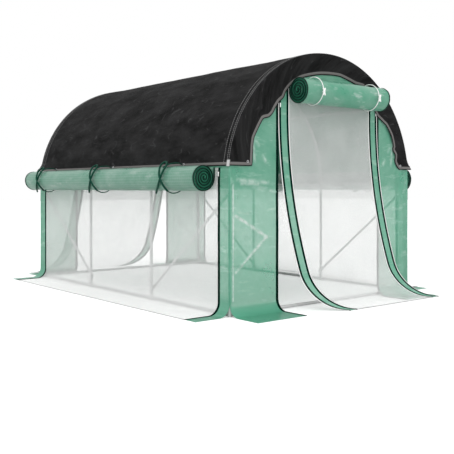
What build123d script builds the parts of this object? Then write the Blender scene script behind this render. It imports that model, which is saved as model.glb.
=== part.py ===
"""Polytunnel greenhouse: a tube frame of four hoops, a film cover with rolled walls and doors, nets and a shade.

Millimetres. The tunnel runs along Y with its front door at -Y, Z is up and the ground is Z = 0.
"""

import math
import os

from build123d import *

os.makedirs("parts", exist_ok=True)

# Driving dimensions
tunnel_length = 3000.0  # over the end hoops
tunnel_width = 2000.0  # over the posts
tunnel_height = 1940.0  # top of the hoop tubes
bay_count = 3
tube_dia = 25.0
brace_dia = 19.0

# Connectors: a sleeve on each hoop with arms that take the rails
sleeve_wall = 3.0
sleeve_half = 35.0
foot_sleeve_height = 70.0
arm_reach = 48.0  # from the hoop's centre line
rail_inset = 18.0  # rail end, from the hoop's centre line
shoulder_angle = 40.0
brace_end_gap = 22.0  # between a brace's end and the nearest sleeve
brace_tab_length = 50.0  # a brace's flattened end
brace_tab_width = 27.0
brace_tab_thick = 5.0

# Cover sheets
film_thick = 2.0
cover_edge_angle = 6.0
corner_strip_width = 130.0
skirt_reach = 300.0
skirt_bend_radius = 90.0

# Door ends
door_half_width = 565.0
door_shift = 25.0  # the doorway's middle, to one side of the tunnel's axis
door_head_drop = 240.0  # doorway's head, below the top of the hoops
door_side_gap = 5.0
net_tape_width = 88.0

# Rolled film
roll_pitch = 16.0
roll_half_turns = 10
wall_roll_radius = 91.0
wall_roll_rise = 25.0  # its axis, above the spring of the hoops
wall_roll_tail = 75.0
wall_roll_front_inset = 154.0  # its ends, from the ends of the cover
wall_roll_back_inset = 56.0
wall_tie_front_inset = 420.0  # the first and last ties, from the roll's ends
wall_tie_back_inset = 293.0
door_roll_radius = 93.0
door_roll_drop = 86.0  # its axis, below the doorway's head
door_roll_tail = 104.0
door_roll_under_hem = 40.0  # its axis, below the shade's hem at the roll's long end
door_roll_shift = 130.0  # how much further one end reaches than the other
door_tie_inset = 155.0  # the ties, from the roll's ends
tie_dia = 5.0
tie_open_angle = 35.0  # half of the gap that a tie leaves beside the wall

# Door nets: straight down, then leaning, then laid over the ground outwards and to one side
net_thick = 2.4
net_drop = 555.0  # where the net starts to lean, below the doorway's head
net_lean = 11.0
net_upper_radius = 3000.0
net_lower_radius = 340.0
net_hem_run = 296.0  # the part on the ground
net_heading = 47.0  # from straight outwards to the side

# Shade
shade_edge_angle = 6.4
valance_drop = 112.0  # from the shade to the valance's hem
valance_lean = 6.0
clip_width = 30.0
clip_height = 45.0
clip_thick = 4.0

# Clearances
fit = 0.3  # between pieces that seat on each other
butt_gap = 0.6  # between tube ends inside a sleeve

# Worked-out lengths
tube_r = tube_dia / 2
brace_r = brace_dia / 2
tie_r = tie_dia / 2
hoop_r = tunnel_width / 2 - tube_r
spring_z = tunnel_height - tunnel_width / 2
end_y = tunnel_length / 2 - tube_r
bay = 2 * end_y / bay_count
hoop_ys = [-end_y + bay * i for i in range(bay_count + 1)]
hoop_names = ["front_hoop", "second_hoop", "third_hoop", "back_hoop"]
curve_room = sleeve_half**2 / (2 * hoop_r)
bore_r = tube_r + fit + curve_room
arm_bore_r = tube_r + fit
sleeve_r = bore_r + sleeve_wall
arm_r = arm_bore_r + sleeve_wall
rail_z = sleeve_r
cover_r = hoop_r + sleeve_r + curve_room + fit  # inner face of the roof film and the side sheets
cover_outer_r = cover_r + film_thick
end_face = end_y + sleeve_r + fit  # inner face of the end sheets
cover_end = end_face + film_thick
side_opening = cover_end - corner_strip_width
panel_r = cover_r - fit
shade_r = cover_outer_r + fit
shade_outer_r = shade_r + film_thick
valance_r = shade_r - valance_drop
door_head = tunnel_height - door_head_drop
bend_z = film_thick + skirt_bend_radius
tunnel_axis = Axis((0, 0, spring_z), (0, -1, 0))
up = Vector(0, 0, 1)
sides = (-1, 1)


def export(part, name):
    """Label a finished piece and write it as its own STEP file."""
    part.label = name
    export_step(part, f"parts/{name}.step")


def on_hoop(angle, y):
    """A point on a hoop's centre line, at an angle up from the right-hand spring."""
    turn = math.radians(angle)
    return Vector(hoop_r * math.cos(turn), y, spring_z + hoop_r * math.sin(turn))


def rod(start, end, radius, mode=Mode.ADD):
    """A round bar between two points, in the part being built."""
    way = end - start
    with BuildSketch(Plane(origin=start, z_dir=way)) as section:
        Circle(radius)
    extrude(section.sketch, amount=way.length, mode=mode)


def connector(centre, below, above, arms):
    """A sleeve on the hoop, from below to above its centre, with an arm for each rail that meets it."""
    rod(below, above, sleeve_r)
    for arm in arms:
        rod(centre, centre + arm * arm_reach, arm_r)
    rod(below, above, bore_r, Mode.SUBTRACT)
    for arm in arms:
        rod(centre + arm * (rail_inset - butt_gap), centre + arm * arm_reach, arm_bore_r, Mode.SUBTRACT)


def arms_along(y):
    """The arms along the tunnel at one hoop: one at an end hoop, two between."""
    arms = []
    if y > hoop_ys[0]:
        arms.append(Vector(0, -1, 0))
    if y < hoop_ys[-1]:
        arms.append(Vector(0, 1, 0))
    return arms


def rail_runs(x, z):
    """One rail in each bay, between the connectors."""
    for y in hoop_ys[:-1]:
        rod(Vector(x, y + rail_inset, z), Vector(x, y + bay - rail_inset, z), tube_r)


def side_plane(side, y):
    """Section plane across a side sheet: its x runs outwards and its y up."""
    return Plane(origin=(0, y, 0), x_dir=(side, 0, 0), z_dir=(0, -side, 0))


def end_plane(end, x):
    """Section plane across an end sheet: its x runs outwards and its y up."""
    return Plane(origin=(x, 0, 0), x_dir=(0, end, 0), z_dir=(end, 0, 0))


def skirt_lines(inner):
    """The inner and outer edges of a sheet's foot, which bends outwards over the ground."""
    outer = inner + film_thick
    centre = (outer + skirt_bend_radius, bend_z)
    under = CenterArc(centre, bend_z, 180, 90)
    over = CenterArc(centre, skirt_bend_radius, 180, 90)
    hem_x = inner + skirt_reach
    Polyline(under @ 1, (hem_x, 0), (hem_x, film_thick), over @ 1)
    return under @ 0, over @ 0


def side_sheet(side, y_from, y_to):
    """A wall sheet from the roof film's edge down to its skirt."""
    with BuildSketch(side_plane(side, y_from)) as section:
        with BuildLine():
            inner_foot, outer_foot = skirt_lines(cover_r)
            inner_top = CenterArc((0, spring_z), cover_r, 0, cover_edge_angle)
            outer_top = CenterArc((0, spring_z), cover_outer_r, 0, cover_edge_angle)
            Line(inner_foot, inner_top @ 0)
            Line(outer_foot, outer_top @ 0)
            Line(inner_top @ 1, outer_top @ 1)
        make_face()
    extrude(section.sketch, amount=-side * (y_to - y_from))


def end_outline(x_from, x_to, z_from):
    """The part of an end's arched outline between two widths and above a height."""
    with Locations((0, spring_z)):
        Circle(panel_r)
    with Locations((0, spring_z / 2)):
        Rectangle(2 * panel_r, spring_z)
    z_to = spring_z + panel_r
    with Locations(((x_from + x_to) / 2, (z_from + z_to) / 2)):
        Rectangle(x_to - x_from, z_to - z_from, mode=Mode.INTERSECT)


def end_panel(end, x_from, x_to):
    """An end panel beside the door: an arched sheet with its skirt."""
    with BuildSketch(Plane.XZ.offset(-end * end_face)) as sheet:
        end_outline(x_from, x_to, bend_z)
    extrude(sheet.sketch, amount=-end * film_thick)
    with BuildSketch(end_plane(end, x_from)) as section:
        with BuildLine():
            inner_foot, outer_foot = skirt_lines(end_face)
            Line(inner_foot, outer_foot)
        make_face()
    extrude(section.sketch, amount=end * (x_to - x_from))


def roll_outline(plane, inner, centre_z, radius, tail):
    """A rolled sheet seen from its end: a tail down the wall that winds into a spiral of half turns."""
    with BuildSketch(plane) as section:
        with Locations((inner + film_thick / 2, centre_z + tail / 2)):
            Rectangle(film_thick, tail)
        for turn in range(roll_half_turns):
            outer_r = radius - turn * roll_pitch / 2
            centre = (inner + radius + turn % 2 * roll_pitch / 2, centre_z)
            start = 180 - turn % 2 * 180
            with BuildLine():
                outer_edge = CenterArc(centre, outer_r, start, 180)
                inner_edge = CenterArc(centre, outer_r - film_thick, start, 180)
                Line(outer_edge @ 0, inner_edge @ 0)
                Line(outer_edge @ 1, inner_edge @ 1)
            make_face()
    return section.sketch


def roll_tie(plane, inner, centre_z, radius):
    """A tie round a roll, open beside the wall."""
    ring_r = radius + fit + tie_r
    turn = math.radians(180 + tie_open_angle)
    out = plane.x_dir * math.cos(turn) + plane.y_dir * math.sin(turn)
    centre = plane.origin + plane.x_dir * (inner + radius) + plane.y_dir * centre_z
    with BuildSketch(Plane(origin=centre + out * ring_r, x_dir=out, z_dir=plane.z_dir.cross(out))) as section:
        Circle(tie_r)
    revolve(section.sketch, axis=Axis(centre, plane.z_dir), revolution_arc=360 - 2 * tie_open_angle)


def net_outline(plane):
    """A hanging door net seen from its side, down to the hem that lies on the ground."""
    lean_z = door_head - net_drop
    hem_z = film_thick + fit
    knee_x = (lean_z - hem_z) * math.tan(math.radians(net_lean))
    with BuildSketch(plane) as section:
        with BuildLine():
            FilletPolyline(
                (0, door_head - fit),
                (0, lean_z),
                (knee_x, hem_z),
                (knee_x + net_hem_run, hem_z),
                radius=(net_upper_radius, net_lower_radius),
            )
            offset(amount=net_thick, side=Side.LEFT)
        make_face()
    return section.sketch


def net_piece(end, x_from, x_to):
    """A door net's cloth between two widths, carried to one side as it falls."""
    turn = math.radians(net_heading)
    along = Vector(-end * math.sin(turn), end * math.cos(turn), 0)
    plane = Plane(origin=(x_from, end * end_face, 0), x_dir=along, z_dir=along.cross(up))
    extrude(net_outline(plane), amount=x_to - x_from, dir=(1, 0, 0))


def arch_plane(angle):
    """Half plane through the tunnel's axis: its x runs outwards and its y along the tunnel."""
    turn = math.radians(angle)
    out = (math.cos(turn), 0, math.sin(turn))
    return Plane(origin=(0, 0, spring_z), x_dir=out, z_dir=(-math.sin(turn), 0, math.cos(turn)))


# Posts and arches, one hoop at a time
for name, y in zip(hoop_names, hoop_ys):
    with BuildPart() as posts:
        for side in sides:
            rod(Vector(side * hoop_r, y, 0), Vector(side * hoop_r, y, spring_z - butt_gap / 2), tube_r)
    export(posts.part, f"{name}_posts")

    with BuildPart() as arch:
        trim = math.degrees(butt_gap / hoop_r)
        for start in (trim, 90 + trim):
            with BuildSketch(arch_plane(start)) as section:
                with Locations((hoop_r, y)):
                    Circle(tube_r)
            revolve(section.sketch, axis=tunnel_axis, revolution_arc=90 - 2 * trim)
    export(arch.part, f"{name}_arch")

# Connectors
with BuildPart() as foot_connectors:
    for y in hoop_ys:
        for side in sides:
            arms = arms_along(y)
            if y in (hoop_ys[0], hoop_ys[-1]):
                arms.append(Vector(-side, 0, 0))
            foot = Vector(side * hoop_r, y, 0)
            connector(foot + up * rail_z, foot, foot + up * foot_sleeve_height, arms)
export(foot_connectors.part, "foot_connectors")

with BuildPart() as eaves_connectors:
    for y in hoop_ys:
        for side in sides:
            centre = Vector(side * hoop_r, y, spring_z)
            connector(centre, centre - up * sleeve_half, centre + up * sleeve_half, arms_along(y))
export(eaves_connectors.part, "eaves_connectors")

with BuildPart() as shoulder_connectors:
    for y in hoop_ys:
        for angle in (shoulder_angle, 180 - shoulder_angle):
            turn = math.radians(angle)
            along = Vector(-math.sin(turn), 0, math.cos(turn)) * sleeve_half
            centre = on_hoop(angle, y)
            connector(centre, centre - along, centre + along, arms_along(y))
export(shoulder_connectors.part, "shoulder_connectors")

with BuildPart() as ridge_connectors:
    for y in hoop_ys:
        along = Vector(sleeve_half, 0, 0)
        centre = on_hoop(90, y)
        connector(centre, centre - along, centre + along, arms_along(y))
export(ridge_connectors.part, "ridge_connectors")

# Rails
with BuildPart() as side_base_rails:
    for side in sides:
        rail_runs(side * hoop_r, rail_z)
export(side_base_rails.part, "side_base_rails")

with BuildPart() as end_base_rails:
    for end in sides:
        half = hoop_r - rail_inset
        rod(Vector(-half, end * end_y, rail_z), Vector(half, end * end_y, rail_z), tube_r)
export(end_base_rails.part, "end_base_rails")

with BuildPart() as eaves_rails:
    for side in sides:
        rail_runs(side * hoop_r, spring_z)
export(eaves_rails.part, "eaves_rails")

with BuildPart() as shoulder_rails:
    shoulder = on_hoop(shoulder_angle, 0)
    for side in sides:
        rail_runs(side * shoulder.X, shoulder.Z)
export(shoulder_rails.part, "shoulder_rails")

with BuildPart() as ridge_rail:
    rail_runs(0, on_hoop(90, 0).Z)
export(ridge_rail.part, "ridge_rail")

# Braces, from the top of each corner post to the foot of the next, with flattened ends that lie on the posts
with BuildPart() as side_braces:
    brace_x = hoop_r - tube_r - fit - brace_tab_thick / 2
    top_z = spring_z - sleeve_half - brace_end_gap
    foot_z = foot_sleeve_height + brace_end_gap
    for side in sides:
        for end in sides:
            top = Vector(side * brace_x, end * end_y, top_z)
            foot = Vector(side * brace_x, end * (end_y - bay), foot_z)
            along = (foot - top).normalized()
            rod(top + along * brace_tab_length, foot - along * brace_tab_length, brace_r)
            for tab_end, inwards in ((top, along), (foot, -along)):
                middle = tab_end + inwards * brace_tab_length / 2
                with BuildSketch(Plane(origin=middle, x_dir=inwards, z_dir=(1, 0, 0))) as tab:
                    SlotCenterToCenter(brace_tab_length, brace_tab_width)
                extrude(tab.sketch, amount=brace_tab_thick / 2, both=True)
export(side_braces.part, "side_braces")

# Roof film and side sheets
with BuildPart() as roof_cover:
    with BuildSketch(arch_plane(cover_edge_angle)):
        with Locations((cover_r + film_thick / 2, 0)):
            Rectangle(film_thick, 2 * cover_end)
    revolve(axis=tunnel_axis, revolution_arc=180 - 2 * cover_edge_angle)
export(roof_cover.part, "roof_cover")

wall_roll_z = spring_z + wall_roll_rise
wall_roll_front = wall_roll_front_inset - cover_end
wall_roll_back = cover_end - wall_roll_back_inset
for side, side_name in zip(sides, ("left", "right")):
    with BuildPart() as corner_strips:
        side_sheet(side, -cover_end, -side_opening)
        side_sheet(side, side_opening, cover_end)
    export(corner_strips.part, f"{side_name}_corner_strips")

    with BuildPart() as side_net:
        side_sheet(side, -side_opening, side_opening)
    export(side_net.part, f"{side_name}_side_net")

    with BuildPart() as wall_roll:
        plane = side_plane(side, wall_roll_front)
        spiral = roll_outline(plane, shade_r, wall_roll_z, wall_roll_radius, wall_roll_tail)
        extrude(spiral, amount=-side * (wall_roll_back - wall_roll_front))
    export(wall_roll.part, f"{side_name}_wall_roll")

with BuildPart() as wall_roll_ties:
    first_tie = wall_roll_front + wall_tie_front_inset
    last_tie = wall_roll_back - wall_tie_back_inset
    tie_pitch = (last_tie - first_tie) / (bay_count - 1)
    for side in sides:
        for number in range(bay_count):
            tie_y = first_tie + number * tie_pitch
            roll_tie(side_plane(side, tie_y), shade_r, wall_roll_z, wall_roll_radius)
export(wall_roll_ties.part, "wall_roll_ties")

# Door ends: panels, gable, rolled door and net
door_film = cover_end + fit
door_roll_z = door_head - door_roll_drop
long_end = math.sqrt(valance_r**2 - (door_roll_z + door_roll_under_hem - spring_z) ** 2)
short_end = long_end - door_roll_shift
for end, end_name in zip(sides, ("front", "back")):
    door_from = -end * door_shift - door_half_width
    door_to = -end * door_shift + door_half_width
    net_from = door_from + door_side_gap
    net_to = door_to - door_side_gap
    with BuildPart() as left_panel:
        end_panel(end, -panel_r, door_from)
    export(left_panel.part, f"{end_name}_left_panel")

    with BuildPart() as right_panel:
        end_panel(end, door_to, panel_r)
    export(right_panel.part, f"{end_name}_right_panel")

    with BuildPart() as gable:
        with BuildSketch(Plane.XZ.offset(-end * end_face)):
            end_outline(door_from, door_to, door_head)
        extrude(amount=-end * film_thick)
    export(gable.part, f"{end_name}_gable")

    with BuildPart() as door_roll:
        roll_x = end * short_end
        spiral = roll_outline(end_plane(end, roll_x), door_film, door_roll_z, door_roll_radius, door_roll_tail)
        extrude(spiral, amount=-(short_end + long_end))
    export(door_roll.part, f"{end_name}_door_roll")

    with BuildPart() as net:
        net_piece(end, net_from + net_tape_width, net_to - net_tape_width)
    export(net.part, f"{end_name}_net")

    with BuildPart() as net_tapes:
        net_piece(end, net_from, net_from + net_tape_width)
        net_piece(end, net_to - net_tape_width, net_to)
    export(net_tapes.part, f"{end_name}_net_tapes")

with BuildPart() as door_roll_ties:
    for end in sides:
        for x in (short_end - door_tie_inset, door_tie_inset - long_end):
            roll_tie(end_plane(end, end * x), door_film, door_roll_z, door_roll_radius)
export(door_roll_ties.part, "door_roll_ties")

# Shade over the roof, with a valance round each end hoop
with BuildPart() as shade_net:
    with BuildSketch(arch_plane(shade_edge_angle)):
        with Locations((shade_r + film_thick / 2, 0)):
            Rectangle(film_thick, 2 * cover_end)
    revolve(axis=tunnel_axis, revolution_arc=180 - 2 * shade_edge_angle)
export(shade_net.part, "shade_net")

for end, end_name in zip(sides, ("front", "back")):
    with BuildPart() as valance:
        hem_y = cover_end + valance_lean
        with BuildSketch(arch_plane(shade_edge_angle)):
            with BuildLine():
                Polyline(
                    (shade_r, end * cover_end),
                    (valance_r, end * hem_y),
                    (valance_r, end * (hem_y + film_thick)),
                    (shade_outer_r, end * (cover_end + film_thick)),
                    (shade_outer_r, end * cover_end),
                    close=True,
                )
            make_face()
        revolve(axis=tunnel_axis, revolution_arc=180 - 2 * shade_edge_angle)
    export(valance.part, f"{end_name}_shade_valance")

with BuildPart() as shade_clips:
    clip_turn = math.degrees(clip_height / shade_outer_r)
    for start in (shade_edge_angle, 180 - shade_edge_angle - clip_turn):
        for y in (hoop_ys[0], hoop_ys[-1]):
            with BuildSketch(arch_plane(start)) as section:
                with Locations((shade_outer_r + fit + clip_thick / 2, y)):
                    Rectangle(clip_thick, clip_width)
            revolve(section.sketch, axis=tunnel_axis, revolution_arc=clip_turn)
export(shade_clips.part, "shade_clips")
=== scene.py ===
"""Dresses the polytunnel greenhouse: film, nets, rolled walls, ties and shade over the tube frame."""

import math

import bmesh
import bpy
import numpy as np
from bpy.props import FloatProperty, FloatVectorProperty, PointerProperty
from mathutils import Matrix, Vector


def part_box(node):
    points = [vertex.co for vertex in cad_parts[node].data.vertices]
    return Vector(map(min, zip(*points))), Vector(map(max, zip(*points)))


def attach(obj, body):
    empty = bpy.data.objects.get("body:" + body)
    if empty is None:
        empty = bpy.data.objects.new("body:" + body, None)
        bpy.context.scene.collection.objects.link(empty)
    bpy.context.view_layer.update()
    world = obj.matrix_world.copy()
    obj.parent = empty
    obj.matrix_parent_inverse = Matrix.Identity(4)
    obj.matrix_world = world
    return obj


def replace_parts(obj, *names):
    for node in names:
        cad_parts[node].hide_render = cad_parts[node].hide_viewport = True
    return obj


bl_info = {
    "name": "Polytunnel greenhouse",
    "version": (1, 0, 0),
    "blender": (4, 5, 0),
    "location": "View3D > Sidebar > Tunnel",
    "description": "Film, nets, rolled walls, ties and shade for a hoop-framed tunnel",
    "category": "Object",
}

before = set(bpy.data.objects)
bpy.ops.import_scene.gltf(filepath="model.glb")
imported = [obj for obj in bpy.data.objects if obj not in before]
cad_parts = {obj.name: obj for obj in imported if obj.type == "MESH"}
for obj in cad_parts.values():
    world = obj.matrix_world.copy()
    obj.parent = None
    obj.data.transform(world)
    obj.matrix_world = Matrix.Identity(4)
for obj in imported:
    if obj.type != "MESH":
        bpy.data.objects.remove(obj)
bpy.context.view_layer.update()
FRONT, BACK = -1, 1
LEFT, RIGHT = -1, 1
END_NAMES = {FRONT: "front", BACK: "back"}
SIDE_NAMES = {LEFT: "left", RIGHT: "right"}
UP = np.array((0.0, 0.0, 1.0))
TUBE = 0.025  # outer diameter of the hoops' tube
HALF_FILM = 0.001  # from the face of a film's solid to its middle
ROOF_START = 6.0  # degrees round the arch from its spring, where the walls end and the roof film begins
PULL_OFF = 0.005  # a zip pull, off its sheet

# Flat lengths of the rolled wall and door films
ROLLED_WALL_LENGTH, ROLLED_DOOR_LENGTH = 1.36, 1.75

# Zips, pulls and bindings, width by thickness
ZIP_THICK = 0.004
NET_ZIP = (0.020, 0.004)
NET_PIPING = (0.007, 0.003)
ZIP_PULL = (0.010, 0.003)
SIDE_NET_HEM = (0.010, 0.0018)
DOOR_NET_HEM = (0.009, 0.002)
ROLL_BINDING = (0.012, 0.0064)
ROLL_LAYER = (0.010, 0.0116)
SHADE_BINDING = (0.021, 0.0050)
SHADE_BINDING_EDGE = (0.034, 0.0034)


def middle(node, axis):
    """Middle of a CAD node's box along one axis."""
    low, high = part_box(node)
    return (low[axis] + high[axis]) / 2


HOOP_YS = [middle(f"{hoop}_hoop_posts", 1) for hoop in ("front", "second", "third", "back")]
HOOP_RADIUS = (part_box("front_hoop_posts")[1][0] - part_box("front_hoop_posts")[0][0] - TUBE) / 2


def length_setting(name, description, default):
    return FloatProperty(name=name, description=description, default=default, unit="LENGTH")


def angle_setting(name, description, degrees):
    return FloatProperty(name=name, description=description, default=math.radians(degrees), unit="ROTATION")


def colour_setting(name, description, default):
    return FloatVectorProperty(name=name, description=description, default=default, subtype="COLOR")


class TunnelSizes(bpy.types.PropertyGroup):
    """Lengths of the cover, in metres, in the frame's own place."""

    spring: length_setting("Spring", "Height where the arch begins", middle("eaves_rails", 2))
    cover: length_setting(
        "Cover radius", "Roof film's radius",
        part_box("roof_cover")[1][2] - middle("eaves_rails", 2) - HALF_FILM,
    )
    end: length_setting("End", "End film, from the tunnel's middle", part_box("back_gable")[0][1] + HALF_FILM)
    skirt: length_setting("Skirt", "Reach of the skirts over the ground", 0.298)
    bend: length_setting("Skirt bend", "Radius where a skirt leaves its wall", 0.09)
    strip: length_setting("Corner strip", "Width of a corner strip", 0.13)
    head: length_setting("Door head", "Height of the doorway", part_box("front_gable")[0][2])
    tape: length_setting("Net tape", "Width of a door net's side tape", 0.1)
    zip: length_setting("Zip", "Width of the zips on the film", 0.024)
    film: length_setting("Film", "Thickness of the film", 0.0008)
    mesh: length_setting("Net", "Thickness of the insect net", 0.0008)
    shade: length_setting("Shade", "Thickness of the shade net", 0.0012)
    shade_edge: length_setting("Shade edge", "Height of the shade's side hems", 1.073)
    shade_flare: length_setting("Shade flare", "How far the shade's hems stand out over the rolls", 0.036)
    net_drop: length_setting("Net drop", "Where a door net starts to lean, below the door head", 0.814)
    net_lean: angle_setting("Net lean", "Lean of a door net", 14.04)
    net_upper: length_setting("Upper bend", "Radius where a door net starts to lean", 4.7)
    net_lower: length_setting("Lower bend", "Radius where a door net meets the ground", 0.379)
    net_run: length_setting("Net run", "Door net from its knee to its hem", 0.296)
    net_heading: angle_setting("Net heading", "From straight outwards to the side", 47)
    roll_pitch: length_setting("Roll pitch", "Film to film in a roll", 0.0198)
    roll_fullness: FloatProperty(
        name="Roll fullness", description="Width of a loose roll to its solid's",
        default=1.11, subtype="FACTOR",
    )
    roll_slip: length_setting("Roll slip", "Right wall's roll, nearer the front than the left one", 0.058)
    tie_slip: length_setting("Tie slip", "Wall ties, nearer the front than their solids", 0.03)
    door_slip: length_setting("Door slip", "Door's roll, nearer the left of its doorway", 0.025)
    door_tie: length_setting("Door tie", "Elastic, from a door roll's end", 0.155)


class TunnelColours(bpy.types.PropertyGroup):
    """Colours of the finishes."""

    film: colour_setting("Film", "Green film", (0.14, 0.5, 0.335))
    wall_roll: colour_setting("Rolled wall", "Film in many layers", (0.07, 0.25, 0.163))
    door_roll: colour_setting("Rolled door", "Film in many layers", (0.05, 0.3, 0.18))
    edge: colour_setting("Zip", "Zips and edges", (0.001, 0.014, 0.009))
    cord: colour_setting("Cord", "Roll ties", (0.0012, 0.052, 0.031))
    net: colour_setting("Net", "Insect net", (0.95, 0.955, 0.95))
    net_edge: colour_setting("Net hem", "Tape along a net's hem", (0.36, 0.365, 0.36))
    # The white powder coat is given a grey colour, darkened as painted shade of the roof over the frame.
    tube: colour_setting("Tube", "Powder coat", (0.6, 0.6, 0.6))
    shade: colour_setting("Shade", "Shade net", (0.014, 0.014, 0.0143))
    hem: colour_setting("Hem", "Shade binding", (0.15, 0.145, 0.14))
    stitch: colour_setting("Stitch", "Shade stitches", (0.22, 0.22, 0.22))
    white: colour_setting("Elastic", "Elastic ties", (0.88, 0.88, 0.87))
    clip: colour_setting("Clip", "Shade clips", (0.5, 0.5, 0.5))
    zinc: colour_setting("Zinc", "Bolts and eyelets", (0.55, 0.55, 0.56))


def sizes():
    return bpy.context.scene.tunnel_sizes


def colours():
    return bpy.context.scene.tunnel_colours


# Materials


def new_material(name):
    """A material with an empty node tree and its output."""
    material = bpy.data.materials.new(name)
    material.use_nodes = True
    tree = material.node_tree
    tree.nodes.clear()
    return material, tree, tree.nodes.new("ShaderNodeOutputMaterial")


def node(tree, kind, inputs=None, **settings):
    """A node with its settings, and its inputs set to values or linked to sockets."""
    made = tree.nodes.new(kind)
    for key, value in settings.items():
        setattr(made, key, value)
    for key, value in (inputs or {}).items():
        if isinstance(value, bpy.types.NodeSocket):
            tree.links.new(value, made.inputs[key])
        else:
            made.inputs[key].default_value = value
    return made


def rgba(colour, share=1.0):
    return (*(min(1.0, c * share) for c in colour[:3]), 1.0)


def math_node(tree, operation, first, second):
    return node(tree, "ShaderNodeMath", {0: first, 1: second}, operation=operation).outputs[0]


def span(tree, value, low, high, new_low, new_high):
    """A value taken from one span to another, held at its ends."""
    return node(tree, "ShaderNodeMapRange", {0: value, 1: low, 2: high, 3: new_low, 4: new_high}).outputs[0]


def noise(tree, place, scale, detail=3.0, roughness=0.5):
    inputs = {"Vector": place, "Scale": scale, "Detail": detail, "Roughness": roughness}
    return node(tree, "ShaderNodeTexNoise", inputs).outputs["Fac"]


def mix_colour(tree, share, first, second):
    made = node(tree, "ShaderNodeMix", {0: share, 6: first, 7: second}, data_type="RGBA", clamp_factor=True)
    return made.outputs[2]


def mix_shader(tree, share, first, second):
    return node(tree, "ShaderNodeMixShader", {0: share, 1: first, 2: second}).outputs[0]


def raised(tree, height, strength, depth):
    """The normal of a surface that a height lifts."""
    inputs = {"Height": height, "Strength": strength, "Distance": depth}
    return node(tree, "ShaderNodeBump", inputs).outputs["Normal"]


def surface(tree, tint, roughness, specular, normal=None, metallic=0.0):
    inputs = {"Base Color": tint, "Roughness": roughness, "Specular IOR Level": specular}
    if normal is not None:
        inputs["Normal"] = normal
    return node(tree, "ShaderNodeBsdfPrincipled", inputs | {"Metallic": metallic}).outputs[0]


def threads(tree, place, spacing, axis):
    """Bands across one axis of a surface, 0 to 1, one for each thread."""
    return node(
        tree, "ShaderNodeTexWave", {"Vector": place, "Scale": 0.314159 / spacing}, wave_type="BANDS",
        bands_direction=axis, wave_profile="SIN",
    ).outputs["Fac"]


def attribute(tree, name):
    return node(tree, "ShaderNodeAttribute", attribute_name=name).outputs["Fac"]


def film_material(name, colour, cover, light_through, painted_sheen, weave, ribs):
    """Woven film that light passes through; cover is the share of what is behind that one face hides."""
    material, tree, output = new_material(name)
    uv = node(tree, "ShaderNodeUVMap", uv_map="cloth").outputs["UV"]
    lattice = math_node(tree, "MAXIMUM", threads(tree, uv, weave, "X"), threads(tree, uv, weave, "Y"))
    lattice = span(tree, lattice, 0.86, 1.0, 0.0, 1.0)
    cloud = noise(tree, uv, 3.0, 5.0, 0.62)
    paler = span(tree, cloud, 0.38, 0.7, 0.0, 0.4)
    paler = math_node(tree, "ADD", paler, math_node(tree, "MULTIPLY", lattice, ribs))
    # Crease whitening: partly the film's stress whitening along its creases, partly a painted highlight on
    # them.
    smear = span(tree, noise(tree, uv, 22.0, 4.0, 0.6), 0.36, 0.58, 0.4, 1.0)
    mark = math_node(tree, "MULTIPLY", attribute(tree, "crease"), smear)
    # Painted sheen: slanted whitish streaks that stand in for highlights on the film.
    slant = {"Vector": uv, "Rotation": (0, 0, 0.5), "Scale": (5.0, 16.0, 1.0)}
    turned = node(tree, "ShaderNodeMapping", slant).outputs[0]
    sheen = span(tree, noise(tree, turned, 1.0, 4.0, 0.62), 0.56, 0.74, 0.0, painted_sheen)
    mark = math_node(tree, "MAXIMUM", mark, sheen)
    tint = mix_colour(tree, paler, rgba(colour), rgba([0.6 * c + 0.36 for c in colour]))
    # Creases and the painted sheen lighten the film towards white: painted highlight, with stress whitening
    # along the creases.
    tint = mix_colour(tree, mark, tint, rgba([0.2 * c + 0.72 for c in colour]))
    # Painted shade along the corner seams, where the corner posts stand behind, and a darker, more opaque
    # foot: both darken the tint and hide more.
    seam_shade_and_dark_foot = attribute(tree, "seam_shade_and_dark_foot")
    tint = mix_colour(tree, seam_shade_and_dark_foot, tint, rgba([0.86 * c for c in colour]))
    bump = raised(tree, lattice, 0.12, 0.0006)
    rough = span(tree, cloud, 0.3, 0.7, 0.24, 0.42)
    skin = surface(tree, tint, rough, 0.5, bump)
    glow = node(tree, "ShaderNodeBsdfTranslucent", {"Color": tint}).outputs[0]
    body = mix_shader(tree, light_through, skin, glow)
    if cover < 1:
        pale = rgba([0.96 + 0.04 * c for c in colour])
        clear = node(tree, "ShaderNodeBsdfTransparent", {"Color": pale}).outputs[0]
        hiding = math_node(tree, "ADD", math_node(tree, "MULTIPLY", paler, 0.2), cover)
        hiding = math_node(tree, "ADD", hiding, math_node(tree, "MULTIPLY", mark, 0.3))
        hiding = math_node(tree, "ADD", hiding, math_node(tree, "MULTIPLY", seam_shade_and_dark_foot, 0.4))
        body = mix_shader(tree, hiding, clear, body)
    tree.links.new(body, output.inputs["Surface"])
    return material


def net_material():
    """Insect net: a fine white weave with open holes."""
    material, tree, output = new_material("white_insect_net")
    uv = node(tree, "ShaderNodeUVMap", uv_map="cloth").outputs["UV"]
    weave = math_node(tree, "MAXIMUM", threads(tree, uv, 0.003, "X"), threads(tree, uv, 0.003, "Y"))
    cover = span(tree, weave, 0.3, 1.0, 0.22, 0.36)
    cover = math_node(tree, "ADD", cover, span(tree, noise(tree, uv, 4.0), 0.3, 0.7, -0.03, 0.03))
    skin = surface(tree, rgba(colours().net), 0.7, 0.2)
    glow = node(tree, "ShaderNodeBsdfTranslucent", {"Color": rgba(colours().net)}).outputs[0]
    clear = node(tree, "ShaderNodeBsdfTransparent").outputs[0]
    body = mix_shader(tree, cover, clear, mix_shader(tree, 0.2, skin, glow))
    tree.links.new(body, output.inputs["Surface"])
    return material


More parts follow.
